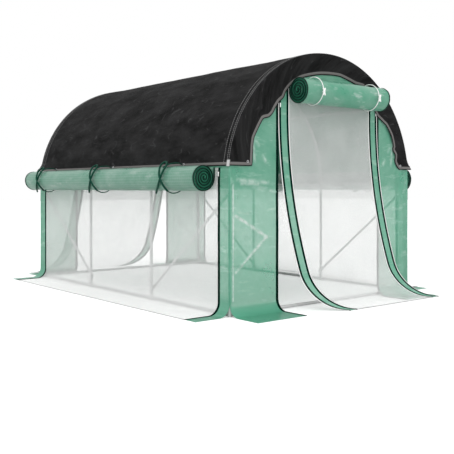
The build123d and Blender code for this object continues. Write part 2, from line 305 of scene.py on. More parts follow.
def shade_material():
    """Knitted shade: dull black ribs, with painted light and shade on crumples drawn out along the tunnel,
    painted highlights along its folds, and a fine random grain.
    """
    material, tree, output = new_material("black_shade_knit")
    uv = node(tree, "ShaderNodeUVMap", uv_map="cloth").outputs["UV"]
    knit = math_node(tree, "ADD", threads(tree, uv, 0.006, "X"), threads(tree, uv, 0.004, "Y"))
    drawn = node(tree, "ShaderNodeMapping", {"Vector": uv, "Scale": (5.5, 2.4, 1.0)}).outputs[0]
    # Crumples: raised in the bump and lit in the tint, a painted light and shade.
    patch = noise(tree, drawn, 1.3, 6.0, 0.66)
    fold = math_node(tree, "ABSOLUTE", math_node(tree, "SUBTRACT", noise(tree, drawn, 2.1, 1.0), 0.5), 0.0)
    broken = span(tree, noise(tree, uv, 13.0, 1.0), 0.54, 0.62, 0.0, 1.0)
    fold = math_node(tree, "MULTIPLY", span(tree, fold, 0.0, 0.026, 1.0, 0.0), broken)
    grain = span(tree, noise(tree, uv, 210.0, 2.0), 0.3, 0.7, -0.22, 0.22)
    black = colours().shade
    # Painted light and shade of the crumples, with a fine random grain in the tone.
    painted_light_and_tone = math_node(tree, "ADD", span(tree, patch, 0.34, 0.66, 0.0, 1.0), grain)
    tint = mix_colour(tree, painted_light_and_tone, rgba(black, 0.25), rgba(black, 1.65))
    # Painted highlight along the folds.
    tint = mix_colour(tree, math_node(tree, "MULTIPLY", fold, 0.8), tint, rgba(black, 2.9))
    knit = math_node(tree, "MULTIPLY", knit, 0.3)
    height = math_node(tree, "ADD", knit, math_node(tree, "MULTIPLY", patch, 7.0))
    bump = raised(tree, math_node(tree, "ADD", height, fold), 0.7, 0.003)
    skin = surface(tree, tint, 0.85, 0.09, bump)
    tree.links.new(skin, output.inputs["Surface"])
    return material


def plain_material(name, colour, roughness, grain, depth, specular=0.4, metallic=0.0):
    """A solid finish with a fine grain in its colour and surface."""
    material, tree, output = new_material(name)
    place = node(tree, "ShaderNodeTexCoord").outputs["Object"]
    speck = noise(tree, place, grain)
    tint = mix_colour(tree, speck, rgba(colour, 0.88), rgba(colour, 1.1))
    skin = surface(tree, tint, roughness, specular, raised(tree, speck, 0.2, depth), metallic)
    tree.links.new(skin, output.inputs["Surface"])
    return material


FINISHES = {}


def make_finish(name):
    """A new material; each row holds what film_material or plain_material takes."""
    c = colours()
    # A film row's fifth value is the strength of its painted sheen, whitish streaks that stand in for
    # highlights.
    films = {
        "film": ("green_film", c.film, 0.5, 0.2, 0.35, 0.009, 0.14),
        "tape": ("green_tape", c.film, 0.6, 0.2, 0.35, 0.009, 0.14),
        "wall_roll": ("rolled_wall_film", c.wall_roll, 1.0, 0.1, 0.24, 0.022, 0.24),
        "door_roll": ("rolled_door_film", c.door_roll, 1.0, 0.1, 0.5, 0.009, 0.14),
    }
    plain = {
        # white powder coat, in a grey that is painted shade
        "tube": ("white_powder_coat", c.tube, 0.38, 900.0, 0.0002),
        "zip": ("dark_green_zip", c.edge, 0.6, 1400.0, 0.0004, 0.0),
        "cord": ("dark_green_cord", c.cord, 0.6, 1800.0, 0.0006, 0.15),
        "binding": ("green_roll_binding", rgba(c.edge, 2.0), 0.5, 1400.0, 0.0004, 0.15),
        "layers": ("green_roll_layers", rgba(c.door_roll, 0.5), 0.6, 700.0, 0.0006, 0.1),
        "hem": ("grey_shade_binding", c.hem, 0.75, 1200.0, 0.0004, 0.2),
        "black_edge": ("black_binding_edge", c.shade, 0.8, 1200.0, 0.0004, 0.1),
        "stitch": ("pale_stitching", c.stitch, 0.8, 900.0, 0.0002, 0.2),
        "white": ("white_elastic", c.white, 0.6, 1500.0, 0.0004),
        "clip": ("pale_grey_clip", c.clip, 0.45, 700.0, 0.0002),
        "zinc": ("zinc_plating", c.zinc, 0.35, 1200.0, 0.0001, 0.5, 0.9),
        "net_edge": ("net_hem_tape", c.net_edge, 0.7, 1500.0, 0.0003, 0.2),
    }
    if name in films:
        return film_material(*films[name])
    if name in plain:
        return plain_material(*plain[name])
    return {"net": net_material, "shade": shade_material}[name]()


def finish_named(name):
    """The named finish, made the first time it is asked for."""
    if name not in FINISHES:
        FINISHES[name] = make_finish(name)
    return FINISHES[name]


# Shapes


def unit(vectors):
    """Vectors at length 1, along the last axis."""
    vectors = np.asarray(vectors, dtype=float)
    return vectors / np.maximum(np.linalg.norm(vectors, axis=-1, keepdims=True), 1e-9)


def ripple(across, along, seed, reach):
    """A smooth made-up unevenness, about 1 high, with waves from reach down to a quarter of it."""
    dice = np.random.default_rng(seed)
    total = np.zeros(np.broadcast(across, along).shape)
    for step in range(7):
        length = reach * (1 - 0.75 * step / 6)
        turn = dice.uniform(0, math.tau)
        phase = dice.uniform(0, math.tau)
        way = across * math.cos(turn) + along * math.sin(turn)
        total += np.sin(math.tau * way / length + phase) * length / reach
    return total / 3.0


def link_piece(name, mesh):
    piece = bpy.data.objects.new(name, mesh)
    bpy.context.collection.objects.link(piece)
    return piece


def ride_root(piece):
    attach(piece, "root")
    return piece


def finish_piece(piece, finish):
    piece.data.materials.append(finish_named(finish))
    return ride_root(piece)


def smooth(mesh):
    mesh.polygons.foreach_set("use_smooth", [True] * len(mesh.polygons))


def mesh_piece(name, points, faces):
    """A new object at the origin from points and faces."""
    mesh = bpy.data.meshes.new(name)
    mesh.from_pydata([tuple(p) for p in points], [], faces)
    mesh.validate()
    smooth(mesh)
    return link_piece(name, mesh)


def turn_outwards(piece):
    """Merges doubled points and points the faces of a closed piece outwards."""
    shell = bmesh.new()
    shell.from_mesh(piece.data)
    bmesh.ops.remove_doubles(shell, verts=shell.verts, dist=1e-6)
    bmesh.ops.recalc_face_normals(shell, faces=shell.faces)
    shell.to_mesh(piece.data)
    shell.free()


def grid_faces(rows, columns):
    return [
        (r * columns + c, r * columns + c + 1, (r + 1) * columns + c + 1, (r + 1) * columns + c)
        for r in range(rows - 1)
        for c in range(columns - 1)
    ]


def grid_normals(grid):
    return unit(np.cross(np.gradient(grid, axis=1), np.gradient(grid, axis=0)))


def run_length(points):
    """Distance from the first of a row of points to each of them."""
    steps = np.linalg.norm(np.diff(points, axis=0), axis=1)
    return np.concatenate([[0.0], np.cumsum(steps)])


def spread(points, count):
    """A line taken again at evenly spaced points."""
    points = np.asarray(points, dtype=float)
    run = run_length(points)
    even = np.linspace(0, run[-1], count)
    return np.stack([np.interp(even, run, points[:, k]) for k in range(points.shape[1])], axis=1)


def rounded(corners, radii):
    """A line through corners in a plane, each inner one rounded to its radius."""
    corners = [np.array(c, dtype=float) for c in corners]
    line = [corners[0]]
    for before, at, after, radius in zip(corners, corners[1:], corners[2:], radii):
        into, away = unit(at - before), unit(after - at)
        turn = math.atan2(into[0] * away[1] - into[1] * away[0], into.dot(away))
        inwards = np.array((-into[1], into[0])) * math.copysign(1, turn)
        start = at - into * radius * math.tan(abs(turn) / 2)
        for k in np.linspace(0, abs(turn), 24):
            line.append(start + inwards * radius * (1 - math.cos(k)) + into * radius * math.sin(k))
    return np.array(line + [corners[-1]])


def mark_points(mesh, name, values):
    layer = mesh.attributes.new(name, "FLOAT", "POINT")
    layer.data.foreach_set("value", np.asarray(values, dtype=np.float32).reshape(-1))


def cloth(
    name, grid, finish, thickness, nodes,
    flip=False, crease=None, seam_shade_and_dark_foot=None,
):
    """A sheet from a grid of points: rows run along it and columns across, with its lengths as its UV map."""
    rows, columns, _ = grid.shape
    faces = grid_faces(rows, columns)
    if flip:
        faces = [tuple(reversed(f)) for f in faces]
    piece = mesh_piece(name, grid.reshape(-1, 3), faces)
    down = np.stack([run_length(grid[:, c]) for c in range(columns)], axis=1)
    over = np.stack([run_length(grid[r]) for r in range(rows)], axis=0)
    layer = piece.data.uv_layers.new(name="cloth")
    corners = np.empty(len(piece.data.loops), dtype=np.int32)
    piece.data.loops.foreach_get("vertex_index", corners)
    flat_uv = np.stack([over.reshape(-1)[corners], down.reshape(-1)[corners]], axis=1)
    layer.data.foreach_set("uv", flat_uv.astype(np.float32).reshape(-1))
    bare = np.zeros((rows, columns))
    mark_points(piece.data, "crease", bare if crease is None else crease)
    mark_points(piece.data, "seam_shade_and_dark_foot", bare if seam_shade_and_dark_foot is None else seam_shade_and_dark_foot)
    body = piece.modifiers.new("thickness", "SOLIDIFY")
    body.thickness = thickness
    body.offset = 0.0
    finish_piece(piece, finish)
    if nodes:
        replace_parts(piece, *nodes)
    return piece


# A binding's cross-section, as shares of its width and its thickness
BAND_SECTION = (
    (-0.5, -0.25), (-0.5, 0.25), (-0.38, 0.5), (0.38, 0.5),
    (0.5, 0.25), (0.5, -0.25), (0.38, -0.5), (-0.38, -0.5),
)


def ring_faces(rings, size, closed):
    """Faces of a tube whose points go ring by ring, with ends unless it is closed."""
    faces = []
    for i in range(rings if closed else rings - 1):
        j = (i + 1) % rings
        for k in range(size):
            faces.append((i * size + k, i * size + (k + 1) % size, j * size + (k + 1) % size, j * size + k))
    if not closed:
        faces.append(tuple(range(size)))
        faces.append(tuple(range((rings - 1) * size, rings * size)))
    return faces


def band(name, path, normals, size, finish, closed=False):
    """A flat binding with rounded edges along a path, never under the ground."""
    width, thick = size
    path = np.asarray(path, dtype=float)
    ahead = np.roll(path, -1, axis=0) - np.roll(path, 1, axis=0) if closed else np.gradient(path, axis=0)
    side = unit(np.cross(normals, unit(ahead)))
    rings = [path + side * (w * width) + normals * (h * thick) for w, h in BAND_SECTION]
    points = np.stack(rings, axis=1).reshape(-1, 3)
    points[:, 2] = np.maximum(points[:, 2], 0.0002)
    piece = mesh_piece(name, points, ring_faces(len(path), len(BAND_SECTION), closed))
    turn_outwards(piece)
    return finish_piece(piece, finish)


def edge_path(grid, column, inset):
    """A grid's edge column, moved inwards over the sheet."""
    inner = 1 if column == 0 else -2
    return grid[:, column] + unit(grid[:, inner] - grid[:, column]) * inset


def join(name, parts):
    """Joins pieces of one finish into one piece."""
    with bpy.context.temp_override(active_object=parts[0], selected_editable_objects=parts):
        bpy.ops.object.join()
    parts[0].name = name
    return parts[0]


def cord_tube(name, points, radius, finish):
    """A round cord along a smooth line near a few points, as a plain mesh."""
    curve = bpy.data.curves.new(name, "CURVE")
    curve.dimensions = "3D"
    curve.bevel_depth = radius
    curve.bevel_resolution = 3
    curve.use_fill_caps = True
    line = curve.splines.new("NURBS")
    line.points.add(len(points) - 1)
    for spot, place in zip(line.points, points):
        spot.co = (*place, 1.0)
    line.order_u = 3
    line.use_endpoint_u = True
    line.resolution_u = 6
    holder = link_piece(name, curve)
    mesh = bpy.data.meshes.new_from_object(holder.evaluated_get(bpy.context.evaluated_depsgraph_get()))
    bpy.data.objects.remove(holder)
    mesh.materials.clear()
    smooth(mesh)
    piece = link_piece(name, mesh)
    turn_outwards(piece)
    return finish_piece(piece, finish)


# Small repeated things, set by node trees on points that know where they face


def stitch_shape(tree, inputs):
    """A short thread lying along the row."""
    edges = {"X": inputs["Length"], "Y": inputs["Width"], "Z": inputs["Width"]}
    size = node(tree, "ShaderNodeCombineXYZ", edges).outputs[0]
    return node(tree, "GeometryNodeMeshCube", {"Size": size}).outputs["Mesh"]


def eyelet_shape(tree, inputs):
    """A rolled metal ring."""
    hoop = node(tree, "GeometryNodeCurvePrimitiveCircle", {"Resolution": 18, "Radius": inputs["Radius"]})
    rim = node(tree, "GeometryNodeCurvePrimitiveCircle", {"Resolution": 8, "Radius": inputs["Rim"]})
    curves = {"Curve": hoop.outputs["Curve"], "Profile Curve": rim.outputs["Curve"]}
    return node(tree, "GeometryNodeCurveToMesh", curves).outputs["Mesh"]


def bolt_shape(tree, inputs):
    """A button head."""
    head = {"Radius Top": inputs["Crown"], "Radius Bottom": inputs["Radius"], "Depth": inputs["Depth"]}
    return node(tree, "GeometryNodeMeshCone", {"Vertices": 14, "Side Segments": 2, **head}).outputs["Mesh"]


def repeat_tree(name, finish, shape, inputs):
    """A node tree that sets one small shape on every point, turned by the point's facing and along."""
    tree = bpy.data.node_groups.new(name, "GeometryNodeTree")
    tree.interface.new_socket("Points", in_out="INPUT", socket_type="NodeSocketGeometry")
    for label in inputs:
        tree.interface.new_socket(label, in_out="INPUT", socket_type="NodeSocketFloat")
    tree.interface.new_socket("Copies", in_out="OUTPUT", socket_type="NodeSocketGeometry")
    source = tree.nodes.new("NodeGroupInput")
    facing, along = (
        node(tree, "GeometryNodeInputNamedAttribute", {"Name": label}, data_type="FLOAT_VECTOR")
        for label in ("facing", "along")
    )
    axes = {"Primary Axis": facing.outputs["Attribute"], "Secondary Axis": along.outputs["Attribute"]}
    turn = node(tree, "FunctionNodeAxesToRotation", axes, primary_axis="Z", secondary_axis="X").outputs[0]
    copies = node(
        tree, "GeometryNodeInstanceOnPoints",
        {"Points": source.outputs["Points"], "Instance": shape(tree, source.outputs), "Rotation": turn},
    ).outputs["Instances"]
    real = node(tree, "GeometryNodeRealizeInstances", {"Geometry": copies}).outputs["Geometry"]
    done = node(tree, "GeometryNodeSetMaterial", {"Geometry": real, "Material": finish_named(finish)})
    sink = tree.nodes.new("NodeGroupOutput")
    tree.links.new(done.outputs["Geometry"], sink.inputs["Copies"])
    return tree


def repeated(name, spots, shape, finish, slot_name, **inputs):
    """One plain mesh of small copies at spots given as (place, facing, along)."""
    places, facings, alongs = (np.array(part, dtype=np.float32) for part in zip(*spots))
    points = bpy.data.meshes.new(name)
    points.from_pydata(places.tolist(), [], [])
    for label, values in (("facing", facings), ("along", alongs)):
        points.attributes.new(label, "FLOAT_VECTOR", "POINT").data.foreach_set("vector", values.reshape(-1))
    holder = link_piece(name, points)
    tree = repeat_tree(name + "_nodes", finish, shape, inputs)
    maker = holder.modifiers.new("copies", "NODES")
    maker.node_group = tree
    for item in tree.interface.items_tree:
        if item.in_out == "INPUT" and item.name in inputs:
            maker[item.identifier] = inputs[item.name]
    mesh = bpy.data.meshes.new_from_object(holder.evaluated_get(bpy.context.evaluated_depsgraph_get()))
    bpy.data.objects.remove(holder)
    piece = link_piece(name, mesh)
    return ride_root(piece)


def stitch_spots(path, normals, pitch):
    """Stitches along a path, one each pitch."""
    count = int(run_length(path)[-1] / pitch)
    places = spread(path, count)
    facings = unit(spread(np.concatenate([path, normals], axis=1), count)[:, 3:])
    return list(zip(places, facings, unit(np.gradient(places, axis=0))))


# Outlines of the sheets, as points in (outwards, up)


def skirt_line(wall, ground=0.0011):
    """From a skirt's hem over the ground and round its bend to the wall."""
    s = sizes()
    hem = [(wall + s.skirt - HALF_FILM, ground)]
    flat = [(wall + s.bend + (s.skirt - s.bend) * k, ground) for k in np.linspace(0.93, 0.0, 10)]
    turn = [
        (wall + s.bend * (1 - math.cos(a)), ground + s.bend * (1 - math.sin(a)))
        for a in np.radians(np.linspace(80, 0, 9))
    ]
    return hem + flat + turn


def side_line():
    """A wall sheet's outline, from its skirt's hem up to the roof film's edge."""
    s = sizes()
    straight = 0.13
    rise = [(s.cover, z) for z in np.linspace(straight, s.spring, 26)]
    turns = np.radians(np.linspace(1.5, ROOF_START, 4))
    arch = [(s.cover * math.cos(a), s.spring + s.cover * math.sin(a)) for a in turns]
    return np.array(skirt_line(s.cover) + rise + arch)


def side_grid(side, ys, push):
    """A wall sheet's points; push gives each point's way outwards."""
    line = side_line()
    grid = np.zeros((len(line), len(ys), 3))
    grid[:, :, 0] = side * (line[:, 0][:, None] + push)
    grid[:, :, 1] = ys[None, :]
    grid[:, :, 2] = line[:, 1][:, None]
    return grid


def wall_share(z, low, high):
    """0 at and below low and at and above high, 1 midway."""
    return np.sin(math.pi * np.clip((z - low) / (high - low), 0, 1))


def end_grid(end, xs, bottom, rows, push):
    """An end sheet's points, from its foot line up to the arch."""
    s = sizes()
    top = s.spring + np.sqrt(np.maximum((s.cover - 0.0014) ** 2 - xs**2, 0))
    foot = np.array(bottom)
    climb = np.linspace(0, 1, rows)[1:]
    grid = np.zeros((len(foot) + len(climb), len(xs), 3))
    grid[: len(foot), :, 1] = foot[:, 0][:, None]
    grid[: len(foot), :, 2] = foot[:, 1][:, None]
    grid[len(foot) :, :, 1] = s.end
    grid[len(foot) :, :, 2] = foot[-1, 1] + climb[:, None] * (top - foot[-1, 1])[None, :]
    grid[:, :, 0] = xs[None, :]
    grid[:, :, 1] += push(grid[:, :, 0], grid[:, :, 2])
    grid[:, :, 1] *= end
    return grid


def near_segment(x, z, start, stop, width):
    """1 on a straight crease and falling off to 0 over its width."""
    way = np.subtract(stop, start)
    share = np.clip(((x - start[0]) * way[0] + (z - start[1]) * way[1]) / way.dot(way), 0, 1)
    gap = np.hypot(x - start[0] - share * way[0], z - start[1] - share * way[1])
    return np.exp(-((gap / width) ** 2))


def bay_share(ys):
    """0 on each hoop and 1 midway between two."""
    bays = (ys - HOOP_YS[0]) / (HOOP_YS[1] - HOOP_YS[0])
    inside = (bays > 0) & (bays < len(HOOP_YS) - 1)
    return np.where(inside, np.sin(math.pi * (bays % 1.0)) ** 2, 0.0)


def doorway(end):
    """The doorway's two edges, as places along X."""
    low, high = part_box(f"{END_NAMES[end]}_gable")
    return low[0], high[0]


# Operators


class TUNNEL_OT_tubes(bpy.types.Operator):
    """Finish the tubes, connectors, braces and clips of the frame, and bolt them"""

    bl_idname = "tunnel.tubes"
    bl_label = "Tube frame"

    def execute(self, context):
        for name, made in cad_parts.items():
            if name == "shade_clips":
                finish = "clip"
            elif name.endswith(("_posts", "_arch", "_connectors", "_rails", "_braces", "_rail")):
                finish = "tube"
            else:
                continue
            made.data.materials.clear()
            made.data.materials.append(finish_named(finish))
        spots = self.arm_bolts() + self.brace_bolts()
        head = {"Radius": 0.0058, "Crown": 0.0035, "Depth": 0.004}
        repeated("connector_bolts", spots, bolt_shape, "zinc", "connector", **head)
        return {"FINISHED"}

    def arm_bolts(self):
        """A bolt on the inner side of each connector's arm."""
        spring = sizes().spring
        arm_radius, reach, arm = 0.0158, 0.037, 0.1
        arch_rails = (40, 90, 140)  # degrees round the arch
        low = middle("side_base_rails", 2)
        rows = [(side * HOOP_RADIUS, z, (-side, 0, 0)) for side in (LEFT, RIGHT) for z in (low, spring)]
        for turn in np.radians(arch_rails):
            outwards = np.array((math.cos(turn), 0, math.sin(turn)))
            rows.append((HOOP_RADIUS * outwards[0], spring + HOOP_RADIUS * outwards[2], -outwards))
        spots = []
        for x, z, facing in rows:
            for y in HOOP_YS:
                for way in (-1, 1):
                    if HOOP_YS[0] < y + arm * way < HOOP_YS[-1]:
                        place = np.array((x, y + way * reach, z)) + np.array(facing) * arm_radius
                        spots.append((place, facing, (0, 1, 0)))
        return spots

    def brace_bolts(self):
        """A bolt through each flattened end of a brace."""
        low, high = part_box("side_braces")
        inset, from_tip = 0.005, 0.014
        spots = []
        for side in (LEFT, RIGHT):
            x = side * (high[0] - inset)
            for outer, inner in ((HOOP_YS[0], HOOP_YS[1]), (HOOP_YS[-1], HOOP_YS[-2])):
                spots.append(((x, outer, high[2] - from_tip), (-side, 0, 0), (0, 1, 0)))
                spots.append(((x, inner, low[2] + from_tip), (-side, 0, 0), (0, 1, 0)))
        return spots


class TUNNEL_OT_roof_film(bpy.types.Operator):
    """Stretch the green film over the hoops"""

    bl_idname = "tunnel.roof_film"
    bl_label = "Roof film"

    def execute(self, context):
        s = sizes()
        sag = 0.004
        ys = np.linspace(-s.end - HALF_FILM, s.end + HALF_FILM, 61)[:, None]
        turns = np.radians(np.linspace(ROOF_START, 180 - ROOF_START, 90))[None, :]
        radius = s.cover - sag * bay_share(ys)
        points = np.broadcast_arrays(radius * np.cos(turns), ys, s.spring + radius * np.sin(turns))
        cloth(
            "roof_film", np.stack(points, axis=2), "film", s.film, ["roof_cover"],
            flip=True,
        )
        return {"FINISHED"}


def corner_post_shade(gap):
    """How far a sheet is darkened and made more opaque at a gap from its corner seam: painted shade of the
    corner post behind it.
    """
    strength, width = 0.75, 0.010
    return strength * np.exp(-((gap / width) ** 2))


def foot_share(z, top, fade):
    """1 along the ground and 0 above the top of a darker, more opaque foot."""
    return np.clip((top - z) / fade, 0, 1)


def pull_tab(top, facing):
    """A small zip pull that hangs flat from its top, turned to face outwards."""
    length = 0.032
    path = [np.array(top) - UP * z for z in np.linspace(0, length, 5)]
    return band("zip_pull", path, np.tile(facing, (5, 1)), ZIP_PULL, "white")


class TUNNEL_OT_corner_strips(bpy.types.Operator):
    """Hang the film strips beside the corners, with their zips and pulls"""

    bl_idname = "tunnel.corner_strips"
    bl_label = "Corner strips"

    def execute(self, context):
        s = sizes()
        outer = s.end + HALF_FILM
        pull_z = s.spring + 0.075
        line = side_line()
        foot = 0.7 * foot_share(line[:, 1], 0.16, 0.08)[:, None]
        pulls = []
        for side in (LEFT, RIGHT):
            solid = f"{SIDE_NAMES[side]}_corner_strips"
            strips, zips = [], []
            for end in (FRONT, BACK):
                ys = end * np.linspace(outer, outer - s.strip, 27)
                push = 0.0012 * ripple(ys[None, :], line[:, 1][:, None], 7 + side + 3 * end, 0.5)
                grid = side_grid(side, ys, push * wall_share(line[:, 1], 0.1, 1.0)[:, None])
                name = f"{SIDE_NAMES[side]}_{END_NAMES[end]}_corner_film"
                # Darker and more opaque at the corner seam, as painted shade of the corner post, and along
                # the foot.
                strip = cloth(
                    name, grid, "film", s.film, [],
                    flip=side * end < 0, seam_shade_and_dark_foot=np.maximum(corner_post_shade(outer - end * ys)[None, :], foot),
                )
                strips.append(strip)
                edge, facing = edge_path(grid, -1, s.zip / 2), grid_normals(grid)[:, -1]
                zips.append(band(name + "_zip", edge, facing, (s.zip, ZIP_THICK), "zip"))
                pulls.append(pull_tab((side * (s.cover + PULL_OFF), edge[-1, 1], pull_z), (side, 0, 0)))
            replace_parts(strips[0], solid)
            join(f"{SIDE_NAMES[side]}_corner_zips", zips)
        join("corner_zip_pulls", pulls)
        return {"FINISHED"}


class TUNNEL_OT_side_nets(bpy.types.Operator):
    """Hang the insect nets along the sides, with their skirts"""

    bl_idname = "tunnel.side_nets"
    bl_label = "Side nets"

    def execute(self, context):
        s = sizes()
        half = s.end - s.strip
        ys = np.linspace(-half, half, 120)
        line = side_line()
        soft = wall_share(line[:, 1], 0.05, 0.86)[:, None]
        for side in (LEFT, RIGHT):
            push = 0.003 * ripple(ys[None, :], 0.3 * line[:, 1][:, None], 21 + side, 0.7) * soft
            grid = side_grid(side, ys, push)
            name = f"{SIDE_NAMES[side]}_side_netting"
            cloth(
                name, grid, "net", s.mesh, [f"{SIDE_NAMES[side]}_side_net"],
                flip=side > 0,
            )
            band(name + "_hem", grid[0], np.tile(UP, (len(ys), 1)), SIDE_NET_HEM, "net_edge")
        return {"FINISHED"}


# Creases on end panels, each a low ridge lightened by stress whitening and a painted highlight: start and
# stop as (from the tunnel's middle, up), width and strength
SMALL_FOLDS = (
    ((0.760, 1.240), (0.735, 1.212), 0.013, 0.6),
    ((0.690, 1.130), (0.670, 1.100), 0.013, 0.6),
    ((0.800, 1.300), (0.770, 1.090), 0.012, 0.5),
)
FOLD_MARKS = SMALL_FOLDS + (
    ((0.949, 0.703), (0.658, 0.547), 0.012, 1.0),
    ((0.658, 0.547), (0.949, 0.308), 0.010, 0.95),
    ((0.974, 0.11), (0.974, 0.92), 0.007, 0.9),
    ((0.93, 0.957), (0.64, 0.938), 0.014, 0.6),
    ((0.90, 0.930), (0.74, 0.926), 0.010, 0.5),
    ((0.62, 0.880), (0.56, 0.870), 0.010, 0.5),
    ((0.90, 0.600), (0.78, 0.500), 0.090, 0.2),
)


class TUNNEL_OT_end_film(bpy.types.Operator):
    """Hang the end panels and gables, with the zips beside the doorway"""

    bl_idname = "tunnel.end_film"
    bl_label = "End film"

    def execute(self, context):
        s = sizes()
        for end in (FRONT, BACK):
            edges = doorway(end)
            for side, edge in zip((LEFT, RIGHT), edges):
                self.panel(end, side, edge)
            xs = np.linspace(*edges, 70)
            grid = end_grid(end, xs, [(s.end, s.head)], 14, lambda x, z: 0 * x)
            gable = f"{END_NAMES[end]}_gable"
            cloth(
                gable + "_film", grid, "film", s.film, [gable],
                flip=end < 0,
            )
        return {"FINISHED"}

    def panel(self, end, side, edge):
        """One panel beside the doorway: uneven and creased, its creases whitened and lit by a painted
        highlight; darker along its skirt, with painted shade along its corner seam.
        """
        s = sizes()
        xs = np.linspace(side * (s.cover - 0.0016), edge, 90)
        marks = FOLD_MARKS if side == end else SMALL_FOLDS

        def push(x, z):
            bulge = 0.0018 * ripple(x, z, 31 + side + 5 * end, 0.6) * wall_share(z, 0.12, 1.75)
            return bulge + sum(0.003 * near_segment(side * x, z, *mark[:3]) for mark in marks)

        grid = end_grid(end, xs, skirt_line(s.end), 130, push)
        x, z = side * grid[:, :, 0], grid[:, :, 2]
        # Whitening along the creases: stress whitening and a painted highlight.
        painted_light_and_tone = sum(mark[3] * near_segment(x, z, *mark[:3]) for mark in marks)
        foot = foot_share(z, 0.075, 0.03)
        name = f"{END_NAMES[end]}_{SIDE_NAMES[side]}"
        cloth(
            name + "_film", grid, "film", s.film, [name + "_panel"],
            flip=side * end > 0,
            crease=np.clip(painted_light_and_tone, 0, 1), seam_shade_and_dark_foot=np.maximum(foot, corner_post_shade(s.cover - x)),
        )
        path, facing = edge_path(grid, -1, s.zip / 2), grid_normals(grid)[:, -1]
        band(name + "_film_zip", path, facing, (s.zip, ZIP_THICK), "zip")


def net_line():
    """A door net's outline as (along its way, up), from the door head down to its hem."""
    s = sizes()
    lean_z = s.head - s.net_drop
    hem_z = 0.0036
    knee = (lean_z - hem_z) * math.tan(s.net_lean)
    corners = ((0, s.head - HALF_FILM), (0, lean_z), (knee, hem_z), (knee + s.net_run, hem_z))
    return spread(rounded(corners, (s.net_upper, s.net_lower)), 80)


def net_grid(end, xs, wave):
    """A door net's points between two widths; wave lifts it off its smooth fall."""
    s = sizes()
    line = net_line()
    reach = line[:, 0][:, None] + wave
    grid = np.zeros((len(line), len(xs), 3))
    grid[:, :, 0] = xs[None, :] - end * math.sin(s.net_heading) * reach
    grid[:, :, 1] = end * (s.end + math.cos(s.net_heading) * reach)
    grid[:, :, 2] = line[:, 1][:, None]
    return grid


class TUNNEL_OT_door_nets(bpy.types.Operator):
    """Hang the door nets with their side tapes, swept out over the ground"""

    bl_idname = "tunnel.door_nets"
    bl_label = "Door nets"
    gap = 0.006  # from the doorway's edge to a tape
    zip_inset, piping_inset = 0.0115, -0.002
    pull_row = 7  # row of the tape's grid where a zip pull hangs

    def execute(self, context):
        pulls = []
        for end in (FRONT, BACK):
            low, high = doorway(end)
            low, high = low + self.gap, high - self.gap
            self.net(end, low + sizes().tape, high - sizes().tape)
            pulls += self.tapes(end, low, high)
        join("net_zip_pulls", pulls)
        return {"FINISHED"}

    def net(self, end, low, high):
        """The net between its tapes, with its hem; it ripples most halfway down its fall."""
        line = net_line()
        slack = np.clip((1.3 - line[:, 1]) / 1.3, 0, 1)[:, None]
        xs = np.linspace(low, high, 60)
        wave = 0.006 * ripple(xs[None, :], 0.25 * line[:, 1][:, None], 51 + end, 0.5)
        grid = net_grid(end, xs, wave * slack * (1 - slack) * 4)
        name = f"{END_NAMES[end]}_door_netting"
        cloth(
            name, grid, "net", sizes().mesh, [f"{END_NAMES[end]}_net"],
            flip=end < 0,
        )
        band(name + "_hem", grid[-1], grid_normals(grid)[-1], DOOR_NET_HEM, "net_edge")

    def tapes(self, end, low, high):
        """The two tapes, with a zip and piping along each edge; gives back their zip pulls."""
        s = sizes()
        tapes, zips, pipings, pulls = [], [], [], []
        for side, start in ((LEFT, low), (RIGHT, high - s.tape)):
            grid = net_grid(end, np.linspace(start, start + s.tape, 10), 0.0)
            out = grid_normals(grid)
            name = f"{END_NAMES[end]}_{SIDE_NAMES[side]}_net_tape"
            tape = cloth(name, grid, "tape", s.film, [], flip=end < 0)
            tapes.append(tape)
            for column in (0, -1):
                facing = out[:, column]
                path = edge_path(grid, column, self.zip_inset)
                zips.append(band(name + "_zip", path, facing, NET_ZIP, "zip"))
                path = edge_path(grid, column, self.piping_inset)
                pipings.append(band(name + "_piping", path, facing, NET_PIPING, "white"))
            outer = 0 if side == LEFT else -1
            top = edge_path(grid, outer, self.zip_inset)[self.pull_row] + np.array((0, end * PULL_OFF, 0))
            pulls.append(pull_tab(top, (0, end, 0)))
        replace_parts(tapes[0], f"{END_NAMES[end]}_net_tapes")
        join(f"{END_NAMES[end]}_net_zips", zips)
        join(f"{END_NAMES[end]}_net_piping", pipings)
        return pulls


def roll_line(inner, centre_z, radius, tail):
    """A rolled sheet's outline as (outwards, up): down its tail and round into the middle."""
    pitch = sizes().roll_pitch
    core = 0.010
    turns = (radius - core) / pitch
    sweep = np.linspace(0, turns * math.tau, int(turns * 34))
    r = radius - pitch * sweep / math.tau
    down = [(inner, centre_z + z) for z in np.linspace(tail, 0.004, 7)]
    turn = math.pi + sweep
    wound = np.stack([inner + radius + r * np.cos(turn), centre_z + r * np.sin(turn)], axis=1)
    return np.concatenate([down, wound])


